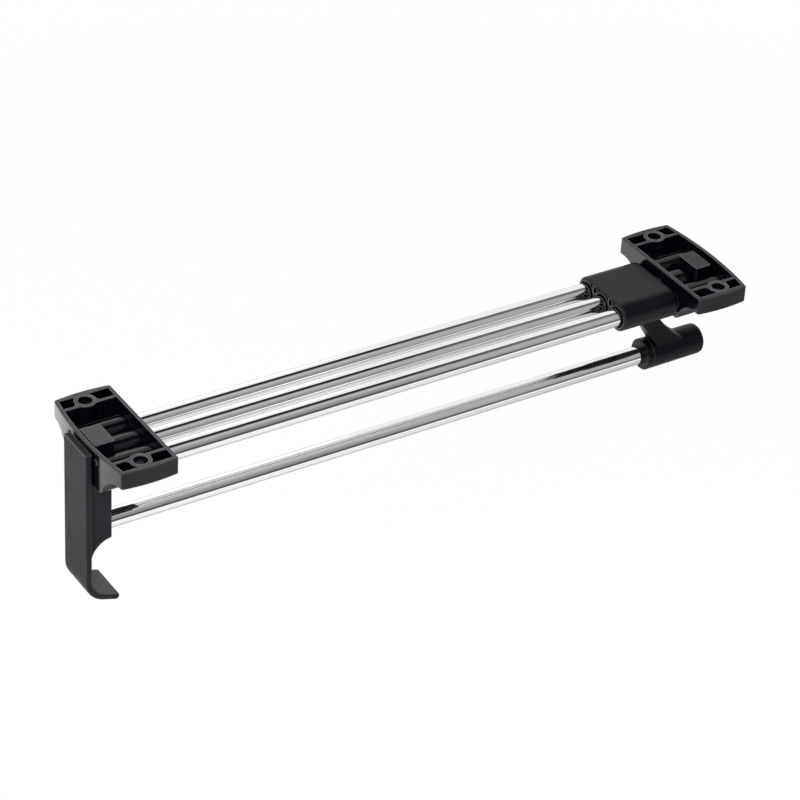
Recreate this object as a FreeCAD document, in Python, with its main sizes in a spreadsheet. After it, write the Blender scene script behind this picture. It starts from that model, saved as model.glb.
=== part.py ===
import FreeCAD, Part
import math
import os
import re
import Sketcher

# Pull-out clothes rail that is screwed under a wardrobe shelf.
# +X runs from the handle to the back of the wardrobe, +Y to the left of someone who stands at
# the handle and faces it, +Z up. Z = 0 is the shelf's underside, and X = 0 is the front
# bracket's line of screw holes.

Vector = FreeCAD.Vector

# Driving dimensions in millimetres (angles in degrees)
DIMENSIONS = {
    # Brackets
    "bracket_length": 71.0,
    "bracket_depth": 30.5,
    "bracket_height": 21.0,
    "hole_inset": 13.5,
    "hole_line_distance": 341.5,
    "bow": 3.1,
    "end_bow": 1.2,
    "corner_radius": 1.2,
    "rim_chamfer": 0.35,
    "rim_wall": 2.0,
    "rim_height": 9.0,
    "cove_start": 31.5,
    "cove_radius": 12.5,
    "cove_low": 19.5,
    "foot_half": 17.7,
    "rib_offset": 25.5,
    "rib_wall": 1.6,
    "end_floor": 7.0,
    "middle_floor": 8.5,
    "deep_half": 20.7,
    "ridge_radius": 6.8,
    "screw_spacing": 57.5,
    "boss_radius": 5.7,
    "boss_outer_fillet": 2.2,
    "boss_inner_fillet": 3.2,
    "screw_hole_radius": 3.7,
    "boss_groove_inner": 4.6,
    "boss_groove_outer": 4.95,
    "boss_groove_depth": 0.5,
    "head_radius": 4.9,
    "head_depth": 7.6,
    "pad_half": 8.0,
    "front_pad_drop": 0.4,
    "rear_pad_drop": 1.0,
    "pad_corner": 1.0,
    "front_pad_end": -2.8,
    "rear_pad_start": -10.8,
    "rear_pad_end": -1.4,
    "nub_radius": 1.6,
    "nub_depth": 5.2,
    "nub_reach": 16.7,
    "nub_round": 0.4,
    "rear_seat_radius": 5.6,
    "rear_seat_end": 0.8,
    # Tubes
    "tube_radius": 5.0,
    "tube_wall": 1.0,
    "tube_pitch": 14.0,
    "tube_depth": 11.9,
    "tube_inset": 12.0,
    "rail_depth": 51.9,
    "centre_tube_end": 338.0,
    "rail_end": 348.0,
    "seat_clearance": 0.02,
    "running_clearance": 0.06,
    # Guide bush and stop rings
    "liner_radius": 5.9,
    "liner_front": 15.5,
    "flange_radius": 6.6,
    "flange_thickness": 0.6,
    "stop_ring_radius": 5.65,
    "stop_ring_thickness": 1.7,
    "stop_ring_edge": 0.25,
    # Carriage
    "carriage_front": 288.1,
    "carriage_length": 35.2,
    "carriage_half": 21.2,
    "carriage_top": 3.6,
    "carriage_bottom": 20.0,
    "carriage_round": 7.6,
    "carriage_front_edge": 1.1,
    "carriage_rear_edge": 2.9,
    "bush_radius": 5.95,
    "bush_length": 9.0,
    "bush_recess": 1.0,
    "mouth_depth": 3.5,
    "slot_half": 1.35,
    "slot_top": 4.9,
    "slot_bottom": 8.9,
    "slot_depth": 5.0,
    # Rail hanger below the carriage
    "neck_front": 307.5,
    "neck_back": 318.0,
    "neck_half": 3.0,
    "neck_drop": 30.0,
    "neck_lean": 19.5,
    "neck_back_lean": 23.3,
    "neck_back_flare": 11.0,
    "neck_side_flare": 4.2,
    "neck_corner": 1.1,
    "neck_back_round": 3.2,
    "tongue_height": 2.6,
    "socket_front": 321.0,
    "socket_end": 354.6,
    "socket_radius": 8.6,
    "socket_end_radius": 8.3,
    "socket_round": 2.2,
    "collar_front": 317.5,
    "collar_radius": 8.6,
    "collar_edge": 0.5,
    # Handle
    "handle_gap": 0.4,
    "handle_half": 11.3,
    "handle_top": 2.4,
    "plate_thickness": 3.6,
    "hook_start": 78.0,
    "hook_radius": 10.3,
    "hook_turn": 73.0,
    "hook_reach": 7.4,
    "hook_tip": 1.95,
    "handle_edge": 0.6,
    "block_top": 21.9,
    "block_back": -4.0,
    "block_half": 7.4,
    "block_arc_radius": 12.5,
    "block_arc_centre": -3.1,
    "block_arc_depth": 70.1,
    "block_edge": 0.9,
    "rail_socket_depth": 8.1,
    "spigot_length": 12.0,
    # Plug and set screws
    "plug_flange": 1.5,
    "plug_length": 8.0,
    "set_screw_radius": 2.0,
    "set_screw_offset": 2.0,
    "set_screw_key": 1.15,
    "set_screw_key_depth": 1.6,
    "carriage_screw_place": 296.0,
    "rail_screw_place": 340.0,
    # How far a cut starts outside the solid
    "cut_margin": 1.0,
}

# Levels of the hanger's neck, as shares of its drop
NECK_LEVELS = (0, 0.35, 0.6, 0.75, 0.88, 1)

# Corners of a set screw's socket
KEY_CORNERS = 6

# Two lengths closer than this are the same
SAME = 1e-4

doc = FreeCAD.newDocument("PullOutClothesRail")
sheet = doc.addObject("Spreadsheet::Sheet", "Dims")
for row, (word, number) in enumerate(DIMENSIONS.items(), start=1):
    sheet.set(f"A{row}", word)
    sheet.set(f"B{row}", str(number))
    sheet.setAlias(f"B{row}", word)
doc.recompute()

# Formulas worked out from the driving dimensions
HALF_LENGTH = "(bracket_length / 2)"
INNER_EDGE = "(bracket_depth - hole_inset)"
RIB_OUT = "(rib_offset + rib_wall / 2)"
RIB_IN = "(rib_offset - rib_wall / 2)"
BOW_RADIUS = "(bracket_length^2 / (8 * bow) + bow / 2)"
END_BOW_RADIUS = "(bracket_depth^2 / (8 * end_bow) + end_bow / 2)"
TUBE_BORE = "(tube_radius - tube_wall)"
TUBE_SEAT = "(tube_radius + seat_clearance)"
TUBE_RUN = "(tube_radius + running_clearance)"
PLATE_BACK = "(-hole_inset - bow - handle_gap)"
PLATE_FRONT = f"({PLATE_BACK} - plate_thickness)"
CARRIAGE_REAR = "(carriage_front + carriage_length)"
REAR_INNER_EDGE = f"(hole_line_distance - {INNER_EDGE})"
THROUGH = "(4 * bracket_depth)"


def bound(text):
    """Write the dimension names of a formula as references to the sheet."""
    def reference(match):
        word = match[0]
        return f"Dims.{word}" if word in DIMENSIONS else word

    return re.sub(r"[a-z][a-z_]+", reference, text)


def amount(text):
    """Work out a formula's present value."""
    return float(sheet.evalExpression(bound(text)))


# Sketch and feature helpers

def new_body(label):
    """Start a sub-part."""
    body = doc.addObject("PartDesign::Body", label)
    body.Label = label
    return body


def sketch_on(body, role, name, offset="0"):
    """Start a sketch on one of the body's own planes, moved along its normal."""
    plane = next(feature for feature in body.Origin.OriginFeatures if feature.Role == role)
    sketch = body.newObject("Sketcher::SketchObject", f"{body.Name}_{name}_sketch")
    sketch.AttachmentSupport = [(plane, "")]
    sketch.MapMode = "FlatFace"
    sketch.setExpression("AttachmentOffset.Base.z", bound(offset))
    return sketch


def drive(sketch, constraint, text):
    """Add a dimension to a sketch and tie it to the sheet."""
    index = sketch.addConstraint(constraint)
    sketch.setExpression(f"Constraints[{index}]", bound(text))


def place_point(sketch, geometry, end, x, y):
    """Tie a point of the sketch to its two coordinates."""
    drive(sketch, Sketcher.Constraint("DistanceX", -1, 1, geometry, end, amount(x)), x)
    drive(sketch, Sketcher.Constraint("DistanceY", -1, 1, geometry, end, amount(y)), y)


def circle(sketch, x, y, radius):
    """Draw a circle."""
    ring = Part.Circle(Vector(amount(x), amount(y), 0), Vector(0, 0, 1), amount(radius))
    index = sketch.addGeometry(ring)
    place_point(sketch, index, 3, x, y)
    drive(sketch, Sketcher.Constraint("Radius", index, amount(radius)), radius)


def arc_between(start, finish, radius):
    """Give the short arc from start to finish, anticlockwise for a positive radius."""
    chord = finish - start
    rise = math.sqrt(max(radius**2 - (chord.Length / 2) ** 2, 0.0))
    left = Vector(-chord.y, chord.x, 0).normalize()
    centre = (start + finish) * 0.5 + left * math.copysign(rise, radius)
    first, last = (start, finish) if radius > 0 else (finish, start)
    angles = [math.atan2(point.y - centre.y, point.x - centre.x) for point in (first, last)]
    return Part.ArcOfCircle(Part.Circle(centre, Vector(0, 0, 1), abs(radius)), angles[0], angles[1])


def outline(sketch, corners):
    """Draw a closed outline with every corner tied to the sheet.

    Each corner is (x, y, bend). The bend is the radius of the arc that leaves the corner,
    with a minus sign where it turns clockwise, or an empty text for a straight edge.
    """
    places = [Vector(amount(x), amount(y), 0) for x, y, bend in corners]
    edges = []
    for place, (x, y, bend) in enumerate(corners):
        start = places[place]
        finish = places[(place + 1) % len(places)]
        shape = arc_between(start, finish, amount(bend)) if bend else Part.LineSegment(start, finish)
        first, last = (2, 1) if bend.startswith("-") else (1, 2)
        edges.append((sketch.addGeometry(shape), first, last))
    for place, (x, y, bend) in enumerate(corners):
        edge, first, last = edges[place]
        before, _, before_last = edges[place - 1]
        sketch.addConstraint(Sketcher.Constraint("Coincident", before, before_last, edge, first))
        place_point(sketch, edge, first, x, y)
        if bend:
            radius = bend.lstrip("-")
            drive(sketch, Sketcher.Constraint("Radius", edge, amount(radius)), radius)


def rounded_rectangle(sketch, x_low, x_high, y_low, y_high, radius):
    """Draw a rectangle with round corners."""
    outline(sketch, [
        (f"{x_low} + {radius}", y_low, ""),
        (f"{x_high} - {radius}", y_low, radius),
        (x_high, f"{y_low} + {radius}", ""),
        (x_high, f"{y_high} - {radius}", radius),
        (f"{x_high} - {radius}", y_high, ""),
        (f"{x_low} + {radius}", y_high, radius),
        (x_low, f"{y_high} - {radius}", ""),
        (x_low, f"{y_low} + {radius}", radius),
    ])


def pad(sketch, length, down=False, both=False):
    """Extrude a sketch along its normal, against it, or half each way."""
    body = sketch.getParentGeoFeatureGroup()
    feature = body.newObject("PartDesign::Pad", sketch.Name.replace("_sketch", "_pad"))
    feature.Profile = sketch
    feature.setExpression("Length", bound(length))
    feature.Reversed = down
    feature.SideType = "Symmetric" if both else "One side"
    doc.recompute()
    return feature


def pocket(sketch, length, forward=False, both=False):
    """Cut a sketch against its normal, along it, or half each way, and see that it removed something."""
    body = sketch.getParentGeoFeatureGroup()
    before = body.Shape.Volume
    feature = body.newObject("PartDesign::Pocket", sketch.Name.replace("_sketch", "_cut"))
    feature.Profile = sketch
    feature.setExpression("Length", bound(length))
    feature.Reversed = forward
    feature.SideType = "Symmetric" if both else "One side"
    doc.recompute()
    if body.Shape.Volume >= before:
        raise RuntimeError(f"{feature.Name} removes nothing")
    return feature


def revolve(sketch):
    """Turn a sketch about its own construction line."""
    body = sketch.getParentGeoFeatureGroup()
    feature = body.newObject("PartDesign::Revolution", sketch.Name.replace("_sketch", "_turn"))
    feature.Profile = sketch
    feature.ReferenceAxis = (sketch, ["Axis0"])
    feature.Angle = 360
    doc.recompute()
    return feature


def turning_axis(sketch, height):
    """Draw a level construction line to turn a sketch about."""
    start = Vector(0, amount(height), 0)
    finish = Vector(1, amount(height), 0)
    index = sketch.addGeometry(Part.LineSegment(start, finish), True)
    place_point(sketch, index, 1, "0", height)
    place_point(sketch, index, 2, "1", height)


def ease_edges(body, kind, name, size, wanted):
    """Round (Fillet) or bevel (Chamfer) the edges of the body's tip that pass a test."""
    base = body.Tip
    names = [f"Edge{number}" for number, edge in enumerate(base.Shape.Edges, start=1) if wanted(edge)]
    if not names:
        raise RuntimeError(f"{body.Name}: no edges for {name}")
    feature = body.newObject(f"PartDesign::{kind}", f"{body.Name}_{name}")
    feature.Base = (base, names)
    feature.setExpression("Radius" if kind == "Fillet" else "Size", bound(size))
    doc.recompute()
    return feature


def level_with(edge, axis, text):
    """Tell whether a whole edge lies at one coordinate."""
    box = edge.BoundBox
    low, high = {"x": (box.XMin, box.XMax), "y": (box.YMin, box.YMax), "z": (box.ZMin, box.ZMax)}[axis]
    return abs(low - amount(text)) < SAME and abs(high - amount(text)) < SAME


def upright(edge):
    """Tell whether an edge is a vertical line."""
    return edge.BoundBox.XLength < SAME and edge.BoundBox.YLength < SAME


def circle_of(edge, radius):
    """Tell whether an edge is a circle of one radius about X."""
    flat = edge.BoundBox.XLength < SAME
    return flat and isinstance(edge.Curve, Part.Circle) and abs(edge.Curve.Radius - amount(radius)) < SAME


# Brackets

def bowed_edge(y):
    """Give the X of the bracket's bowed outer edge at a Y."""
    return f"(-hole_inset + sqrt({BOW_RADIUS}^2 - {HALF_LENGTH}^2) - sqrt({BOW_RADIUS}^2 - ({y})^2))"


def well(body, name, y_low, y_high, depth):
    """Cut an open well into the top, between two Ys, that keeps the rim walls."""
    sketch = sketch_on(body, "XY_Plane", name)
    outline(sketch, [
        (f"{INNER_EDGE} - rim_wall", y_low, ""),
        (f"{INNER_EDGE} - rim_wall", y_high, ""),
        (f"{bowed_edge(y_high)} + rim_wall", y_high, BOW_RADIUS),
        (f"{bowed_edge(y_low)} + rim_wall", y_low, ""),
    ])
    pocket(sketch, depth)


def bracket_shell(label):
    """Mould the bracket's outside: bowed plan, deep middle and coved ends."""
    body = new_body(label)
    plan = sketch_on(body, "XY_Plane", "plan")
    outline(plan, [
        (INNER_EDGE, f"-{HALF_LENGTH}", ""),
        (INNER_EDGE, HALF_LENGTH, END_BOW_RADIUS),
        ("-hole_inset", HALF_LENGTH, BOW_RADIUS),
        ("-hole_inset", f"-{HALF_LENGTH}", END_BOW_RADIUS),
    ])
    pad(plan, "bracket_height", down=True)
    ease_edges(body, "Fillet", "corners", "corner_radius", upright)
    ease_edges(body, "Chamfer", "rim_edge", "rim_chamfer", lambda edge: level_with(edge, "z", "0"))
    coves = sketch_on(body, "YZ_Plane", "coves")
    cove_end = "(cove_start - sqrt(cove_radius^2 - (rim_height + cove_radius - cove_low)^2))"
    outside = f"({HALF_LENGTH} + end_bow + cut_margin)"
    below = "(bracket_height + cut_margin)"
    for side in ("", "-"):
        outline(coves, [
            (f"{side}{outside}", "-rim_height", ""),
            (f"{side}cove_start", "-rim_height", f"{side}cove_radius"),
            (f"{side}{cove_end}", "-cove_low", ""),
            (f"{side}foot_half", "-bracket_height", ""),
            (f"{side}foot_half", f"-{below}", ""),
            (f"{side}{outside}", f"-{below}", ""),
        ])
    pocket(coves, THROUGH, both=True)
    return body


def bracket_wells(body):
    """Open the top into two end wells and a deeper middle well, with a rib between them."""
    end_wall = f"({HALF_LENGTH} - rim_wall)"
    well(body, "left_well", RIB_OUT, end_wall, "end_floor")
    well(body, "right_well", f"-{end_wall}", f"-{RIB_OUT}", "end_floor")
    well(body, "middle_well", f"-{RIB_IN}", RIB_IN, "middle_floor")
    well(body, "deep_well", "-deep_half", "deep_half", "tube_depth")


def tube_ridge(body, name, y, start, finish):
    """Add the moulded ridge that covers a tube inside the middle well."""
    sketch = sketch_on(body, "YZ_Plane", name, start)
    circle(sketch, y, "-tube_depth", "ridge_radius")
    pad(sketch, f"{finish} - {start}")


def boss_corner(edge, face):
    """Tell whether an edge is the upright corner between a screw boss and one face of a rib."""
    box = edge.BoundBox
    on_face = abs(abs(box.YMin) - amount(face)) < SAME
    return upright(edge) and on_face and abs(box.XMin) < amount("boss_radius")


def screw_bosses(body):
    """Add the two screw bosses that flow into the ribs, each with a hole, a head seat and a groove on top."""
    for side in ("", "-"):
        place = f"{side}screw_spacing / 2"
        word = "right" if side else "left"
        boss = sketch_on(body, "XY_Plane", f"{word}_boss")
        circle(boss, "0", place, "boss_radius")
        pad(boss, "middle_floor", down=True)
    ease_edges(body, "Fillet", "boss_outsides", "boss_outer_fillet", lambda edge: boss_corner(edge, RIB_OUT))
    ease_edges(body, "Fillet", "boss_insides", "boss_inner_fillet", lambda edge: boss_corner(edge, RIB_IN))
    holes = sketch_on(body, "XY_Plane", "screw_holes")
    seats = sketch_on(body, "XY_Plane", "head_seats", "-bracket_height")
    for side in ("", "-"):
        circle(holes, "0", f"{side}screw_spacing / 2", "screw_hole_radius")
        circle(seats, "0", f"{side}screw_spacing / 2", "head_radius")
    pocket(holes, "bracket_height")
    pocket(seats, "bracket_height - head_depth", forward=True)
    grooves = sketch_on(body, "XY_Plane", "boss_grooves")
    for side in ("", "-"):
        circle(grooves, "0", f"{side}screw_spacing / 2", "boss_groove_outer")
        circle(grooves, "0", f"{side}screw_spacing / 2", "boss_groove_inner")
    pocket(grooves, "boss_groove_depth")


def bearing_pad(body, x_low, x_high, drop):
    """Add the flat pad over the centre tube, a little below the rim."""
    sketch = sketch_on(body, "XY_Plane", "pad", f"-{drop}")
    rounded_rectangle(sketch, x_low, x_high, "-pad_half", "pad_half", "pad_corner")
    pad(sketch, f"tube_depth - {drop}", down=True)


def tube_seats(body):
    """Bore the blind seats of the two guide tubes and the holes of their set screws."""
    seats = sketch_on(body, "YZ_Plane", "tube_seats", f"{INNER_EDGE} + cut_margin")
    screws = sketch_on(body, "XY_Plane", "set_screws", "-bracket_height - cut_margin")
    for side in ("", "-"):
        circle(seats, f"{side}tube_pitch", "-tube_depth", TUBE_SEAT)
        circle(screws, "set_screw_offset", f"{side}tube_pitch", "set_screw_radius + seat_clearance")
    pocket(seats, f"{INNER_EDGE} + cut_margin + tube_inset")
    pocket(screws, "bracket_height + cut_margin - tube_depth", forward=True)


def front_bracket():
    """The bracket behind the handle, with the guide hole of the centre tube."""
    body = bracket_shell("front_bracket")
    bracket_wells(body)
    inner_wall = f"({INNER_EDGE} - rim_wall / 2)"
    for name, y in (("left_ridge", "tube_pitch"), ("middle_ridge", "0"), ("right_ridge", "-tube_pitch")):
        tube_ridge(body, name, y, "-hole_inset", inner_wall)
    screw_bosses(body)
    bearing_pad(body, "-hole_inset", "front_pad_end", "front_pad_drop")
    tube_seats(body)
    nubs = sketch_on(body, "YZ_Plane", "nubs", "-hole_inset - bow / 2")
    for side in ("", "-"):
        circle(nubs, f"{side}tube_pitch", "-nub_depth", "nub_radius")
    pad(nubs, "nub_reach - hole_inset - bow / 2", down=True)
    ease_edges(body, "Fillet", "nub_domes", "nub_round", lambda edge: level_with(edge, "x", "-nub_reach"))
    guide = sketch_on(body, "YZ_Plane", "guide")
    circle(guide, "0", "-tube_depth", "liner_radius + seat_clearance")
    pocket(guide, THROUGH, both=True)
    return body


def rear_bracket():
    """The bracket at the back, turned round, with a blind seat for the centre tube's end."""
    body = bracket_shell("rear_bracket")
    bracket_wells(body)
    inner_wall = f"({INNER_EDGE} - rim_wall / 2)"
    for name, y in (("left_ridge", "tube_pitch"), ("right_ridge", "-tube_pitch")):
        tube_ridge(body, name, y, "-hole_inset", inner_wall)
    seat = sketch_on(body, "XZ_Plane", "seat_ridge")
    turning_axis(seat, "-tube_depth")
    dome = "(ridge_radius / 2)"
    wall = "(ridge_radius - rear_seat_radius)"
    outline(seat, [
        (f"rear_seat_end - {wall}", "-tube_depth", ""),
        (inner_wall, "-tube_depth", ""),
        (inner_wall, "-tube_depth + ridge_radius", ""),
        (f"rear_seat_end - {wall} + {dome}", "-tube_depth + ridge_radius", dome),
        (f"rear_seat_end - {wall}", f"-tube_depth + {dome}", ""),
    ])
    revolve(seat)
    screw_bosses(body)
    bearing_pad(body, "rear_pad_start", "rear_pad_end", "rear_pad_drop")
    tube_seats(body)
    hole = sketch_on(body, "YZ_Plane", "seat_hole", f"{INNER_EDGE} + cut_margin")
    circle(hole, "0", "-tube_depth", "rear_seat_radius")
    pocket(hole, f"{INNER_EDGE} + cut_margin - rear_seat_end")
    body.Placement = FreeCAD.Placement(Vector(0, 0, 0), FreeCAD.Rotation(Vector(0, 0, 1), 180))
    body.setExpression("Placement.Base.x", bound("hole_line_distance"))
    return body


# Round pieces along X

def sleeve(label, y, depth, start, finish, inner, outer):
    """A straight tube or ring along X."""
    body = new_body(label)
    sketch = sketch_on(body, "YZ_Plane", "section", start)
    circle(sketch, y, f"-{depth}", outer)
    circle(sketch, y, f"-{depth}", inner)
    pad(sketch, f"{finish} - ({start})")
    return body


def stop_ring(label, y, start):
    """A rubber ring on a guide tube that cushions the carriage."""
    finish = f"{start} + stop_ring_thickness"
    body = sleeve(label, y, "tube_depth", start, finish, TUBE_SEAT, "stop_ring_radius")
    ease_edges(body, "Chamfer", "edges", "stop_ring_edge", lambda edge: circle_of(edge, "stop_ring_radius"))
    return body


def guide_bush():
    """The flanged liner in which the centre tube slides through the front bracket."""
    body = sleeve("front_guide_bush", "0", "tube_depth", "-liner_front", INNER_EDGE,
                  TUBE_RUN, "liner_radius")
    flange = sketch_on(body, "YZ_Plane", "flange", INNER_EDGE)
    circle(flange, "0", "-tube_depth", "flange_radius")
    circle(flange, "0", "-tube_depth", TUBE_RUN)
    pad(flange, "flange_thickness")
    return body


def centre_tube_plug():
    """The moulded plug that closes the centre tube's rear end."""
    body = new_body("centre_tube_plug")
    stem = sketch_on(body, "YZ_Plane", "stem", "centre_tube_end - plug_length")
    circle(stem, "0", "-tube_depth", f"{TUBE_BORE} - seat_clearance")
    pad(stem, "plug_length")
    cap = sketch_on(body, "YZ_Plane", "cap", "centre_tube_end")
    circle(cap, "0", "-tube_depth", "tube_radius")
    pad(cap, "plug_flange")
    end = "centre_tube_end + plug_flange"
    ease_edges(body, "Chamfer", "nose", "plug_flange / 2", lambda edge: level_with(edge, "x", end))
    return body


def set_screws(label, places, low, high):
    """Headless socket screws that stand upright and press on a tube, one for each (x, y)."""
    body = new_body(label)
    body.AllowCompound = True
    shanks = sketch_on(body, "XY_Plane", "shanks", f"-({low})")
    keys = sketch_on(body, "XY_Plane", "keys", f"-({low})")
    turns = [2 * math.pi * corner / KEY_CORNERS for corner in range(KEY_CORNERS)]
    for x, y in places:
        circle(shanks, x, y, "set_screw_radius")
        outline(keys, [(f"{x} + set_screw_key * {math.cos(turn):.6f}",
                        f"{y} + set_screw_key * {math.sin(turn):.6f}", "") for turn in turns])
    pad(shanks, f"{low} - ({high})")
    pocket(keys, "set_screw_key_depth", forward=True)
    return body


# Carriage and rail hanger

def carriage():
    """The moulded carriage that runs on the two guide tubes and holds the centre tube."""
    body = new_body("carriage")
    section = sketch_on(body, "YZ_Plane", "section", "carriage_front")
    rounded_rectangle(section, "-carriage_half", "carriage_half", "-carriage_bottom", "-carriage_top",
                      "carriage_round")
    pad(section, "carriage_length")
    ease_edges(body, "Fillet", "front_edge", "carriage_front_edge",
               lambda edge: level_with(edge, "x", "carriage_front"))
    ease_edges(body, "Fillet", "rear_edge", "carriage_rear_edge",
               lambda edge: level_with(edge, "x", CARRIAGE_REAR))
    bores = sketch_on(body, "YZ_Plane", "bores", "carriage_front - cut_margin")
    circle(bores, "tube_pitch", "-tube_depth", "bush_radius")
    circle(bores, "-tube_pitch", "-tube_depth", "bush_radius")
    pocket(bores, "carriage_length + 2 * cut_margin", forward=True)
    mouth = sketch_on(body, "YZ_Plane", "centre_mouth", "carriage_front - cut_margin")
    circle(mouth, "0", "-tube_depth", "bush_radius")
    pocket(mouth, "mouth_depth + cut_margin", forward=True)
    bore = sketch_on(body, "YZ_Plane", "centre_bore", "carriage_front - cut_margin")
    circle(bore, "0", "-tube_depth", TUBE_SEAT)
    pocket(bore, "carriage_length + 2 * cut_margin", forward=True)
    slots = sketch_on(body, "YZ_Plane", "slots", "carriage_front - cut_margin")
    for side in ("", "-"):
        middle = f"{side}tube_pitch / 2"
        rounded_rectangle(slots, f"({middle} - slot_half)", f"({middle} + slot_half)",
                          "-slot_bottom", "-slot_top", "slot_half / 2")
    pocket(slots, "slot_depth + cut_margin", forward=True)
    seat = sketch_on(body, "XY_Plane", "hanger_seat", "-carriage_bottom - cut_margin")
    rounded_rectangle(seat, "(neck_front - seat_clearance)", "(neck_back + seat_clearance)",
                      "(-neck_half - seat_clearance)", "(neck_half + seat_clearance)", "neck_corner")
    pocket(seat, "tongue_height + seat_clearance + cut_margin", forward=True)
    screw = sketch_on(body, "XY_Plane", "set_screw", "-carriage_bottom - cut_margin")
    circle(screw, "carriage_screw_place", "0", "set_screw_radius + seat_clearance")
    pocket(screw, "carriage_bottom + cut_margin - tube_depth", forward=True)
    return body


def neck_section(body, share):
    """One level section of the hanger's neck; share runs from 0 at the carriage to 1 at the rail."""
    level = f"-carriage_bottom - neck_drop * {share}"
    sketch = sketch_on(body, "XY_Plane", f"neck_{round(100 * share)}", level)
    front = f"(neck_front + neck_lean * {share})"
    back = f"(neck_back + neck_back_lean * {share} + neck_back_flare * {share}^5)"
    half = f"(neck_half + neck_side_flare * {share}^2)"
    back_round = f"(neck_corner + neck_back_round * {share}^2)"
    outline(sketch, [
        (f"{front} + neck_corner", f"-{half}", ""),
        (f"{back} - {back_round}", f"-{half}", back_round),
        (back, f"-{half} + {back_round}", ""),
        (back, f"{half} - {back_round}", back_round),
        (f"{back} - {back_round}", half, ""),
        (f"{front} + neck_corner", half, "neck_corner"),
        (front, f"{half} - neck_corner", ""),
        (front, f"-{half} + neck_corner", "neck_corner"),
    ])
    return sketch


def rail_hanger():
    """The leaning neck under the carriage that flares into the socket of the hanging rail."""
    body = new_body("rail_hanger")
    sections = [neck_section(body, share) for share in NECK_LEVELS]
    neck = body.newObject("PartDesign::AdditiveLoft", "rail_hanger_neck")
    neck.Profile = sections[0]
    neck.Sections = sections[1:]
    doc.recompute()
    tongue = sketch_on(body, "XY_Plane", "tongue", "-carriage_bottom")
    rounded_rectangle(tongue, "neck_front", "neck_back", "-neck_half", "neck_half", "neck_corner")
    pad(tongue, "tongue_height")
    socket = sketch_on(body, "XZ_Plane", "socket")
    turning_axis(socket, "-rail_depth")
    outline(socket, [
        ("socket_front", "-rail_depth", ""),
        ("socket_end", "-rail_depth", ""),
        ("socket_end", "-rail_depth + socket_end_radius - socket_round", "socket_round"),
        ("socket_end - socket_round", "-rail_depth + socket_end_radius", ""),
        ("socket_front", "-rail_depth + socket_radius", ""),
    ])
    revolve(socket)
    bore = sketch_on(body, "YZ_Plane", "bore", "socket_front - cut_margin")
    circle(bore, "0", "-rail_depth", TUBE_SEAT)
    pocket(bore, "rail_end - socket_front + cut_margin", forward=True)
    screw = sketch_on(body, "XY_Plane", "set_screw", "-rail_depth - socket_radius - cut_margin")
    circle(screw, "rail_screw_place", "0", "set_screw_radius + seat_clearance")
    pocket(screw, "socket_radius + cut_margin", forward=True)
    return body


def rail_collar():
    """The ring that closes the mouth of the rail socket."""
    body = sleeve("rail_collar", "0", "rail_depth", "collar_front", "socket_front",
                  TUBE_SEAT, "collar_radius")
    ease_edges(body, "Chamfer", "mouth", "collar_edge",
               lambda edge: circle_of(edge, "collar_radius") and level_with(edge, "x", "collar_front"))
    return body


# Handle

def hook_point(radius, reach):
    """A point on the hook past its bend, at a radius from the bend's centre."""
    centre = f"({PLATE_BACK} + hook_radius)"
    x = f"({centre} - {radius} * cos(hook_turn) + {reach} * sin(hook_turn))"
    z = f"(-hook_start - {radius} * sin(hook_turn) - {reach} * cos(hook_turn))"
    return x, z


def handle():
    """The pull handle: a front plate that bends into a finger hook, and the block that holds the rail."""
    body = new_body("handle")
    outer = "(hook_radius + plate_thickness)"
    side = sketch_on(body, "XZ_Plane", "plate")
    outline(side, [
        (PLATE_FRONT, "-handle_top", ""),
        (PLATE_FRONT, "-hook_start", outer),
        (*hook_point(outer, "0"), ""),
        (*hook_point(outer, "hook_reach"), "hook_tip"),
        (*hook_point("hook_radius", "hook_reach"), ""),
        (*hook_point("hook_radius", "0"), "-hook_radius"),
        (PLATE_BACK, "-hook_start", ""),
        (PLATE_BACK, "-handle_top", ""),
    ])
    pad(side, "2 * handle_half", both=True)
    ease_edges(body, "Fillet", "edges", "handle_edge",
               lambda edge: level_with(edge, "y", "handle_half") or level_with(edge, "y", "-handle_half"))
    block = sketch_on(body, "XZ_Plane", "block")
    middle = f"({PLATE_BACK} - plate_thickness / 2)"
    arc_top = "(-block_arc_depth + sqrt(block_arc_radius^2 - (block_arc_centre - block_back)^2))"
    outline(block, [
        (middle, "-block_top", ""),
        (middle, "-block_arc_depth - plate_thickness", ""),
        ("block_arc_centre - block_arc_radius", "-block_arc_depth", "-block_arc_radius"),
        ("block_back", arc_top, ""),
        ("block_back", "-block_top", ""),
    ])
    pad(block, "2 * block_half", both=True)
    ease_edges(body, "Fillet", "block_edges", "block_edge",
               lambda edge: level_with(edge, "x", "block_back") and upright(edge))
    spigot = sketch_on(body, "YZ_Plane", "spigot", f"{PLATE_BACK} - plate_thickness / 2")
    circle(spigot, "0", "-tube_depth", f"{TUBE_BORE} - seat_clearance")
    pad(spigot, "spigot_length + plate_thickness / 2")
    socket = sketch_on(body, "YZ_Plane", "rail_socket", "block_back + cut_margin")
    circle(socket, "0", "-rail_depth", TUBE_SEAT)
    pocket(socket, "rail_socket_depth + cut_margin")
    return body


# The assembly

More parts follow.
